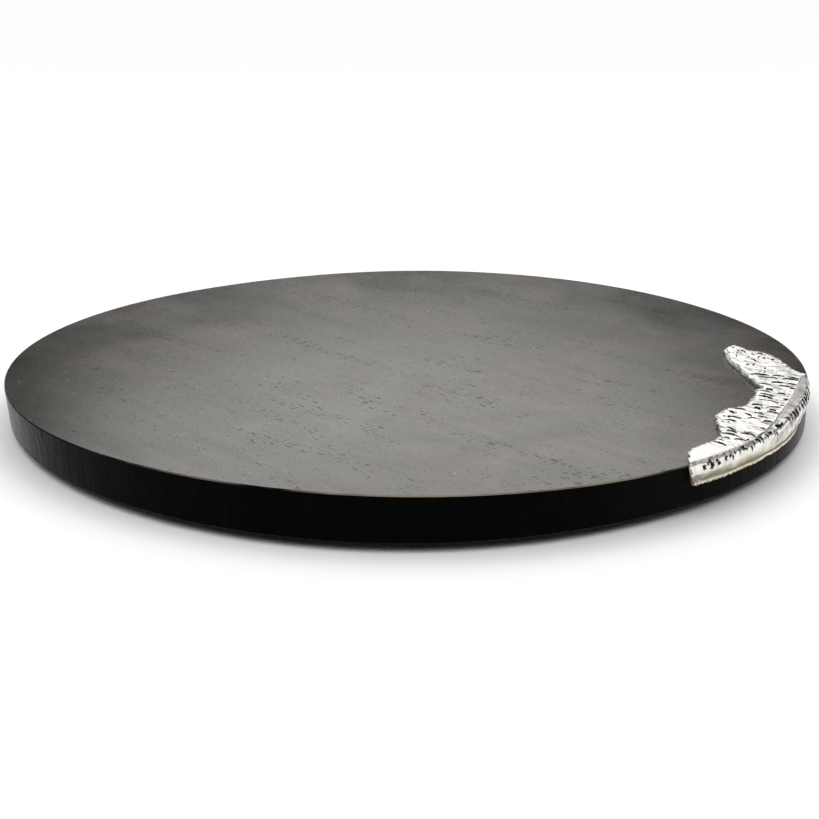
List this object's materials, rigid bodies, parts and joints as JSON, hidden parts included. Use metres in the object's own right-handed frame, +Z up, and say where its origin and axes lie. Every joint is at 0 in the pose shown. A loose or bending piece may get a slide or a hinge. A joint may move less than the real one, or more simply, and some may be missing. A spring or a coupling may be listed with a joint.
{
  "type": "serving tray",
  "caption": "Round flat wooden serving board on rubber feet, with a cast metal trim shaped like bark let into part of its rim.",
  "frame": {"origin": "middle of the board, on the plane that the rubber feet rest on", "axes": "+Z up, square to the serving face; +X towards the tip of the cast trim, in plan; +Y away from the side that faces the user"},
  "size_m": [0.4095, 0.4081, 0.0266],
  "materials": {
    "ebonised_wood": "black stain under a satin oil, open pores",
    "dowel_wood": "plain beech",
    "cast_silver": "cast, polished, with dark oxide left in the grooves",
    "screw_steel": "zinc plated",
    "foot_rubber": "matt moulded"
  },
  "bodies": {
    "root": {"stave_1": "ebonised_wood", "stave_2": "ebonised_wood", "stave_3": "ebonised_wood", "stave_4": "ebonised_wood", "stave_5": "ebonised_wood", "stave_6": "ebonised_wood", "stave_7": "ebonised_wood", "seam_dowels_1": "dowel_wood", "seam_dowels_2": "dowel_wood", "seam_dowels_3": "dowel_wood", "seam_dowels_4": "dowel_wood", "seam_dowels_5": "dowel_wood", "seam_dowels_6": "dowel_wood", "bark_trim": "cast_silver", "trim_screw_1": "screw_steel", "trim_screw_2": "screw_steel", "trim_screw_3": "screw_steel", "rubber_foot_1": "foot_rubber", "rubber_foot_2": "foot_rubber", "rubber_foot_3": "foot_rubber", "rubber_foot_4": "foot_rubber", "foot_washer_1": "screw_steel", "foot_washer_2": "screw_steel", "foot_washer_3": "screw_steel", "foot_washer_4": "screw_steel", "foot_screw_1": "screw_steel", "foot_screw_2": "screw_steel", "foot_screw_3": "screw_steel", "foot_screw_4": "screw_steel"}
  },
  "joints": []
}
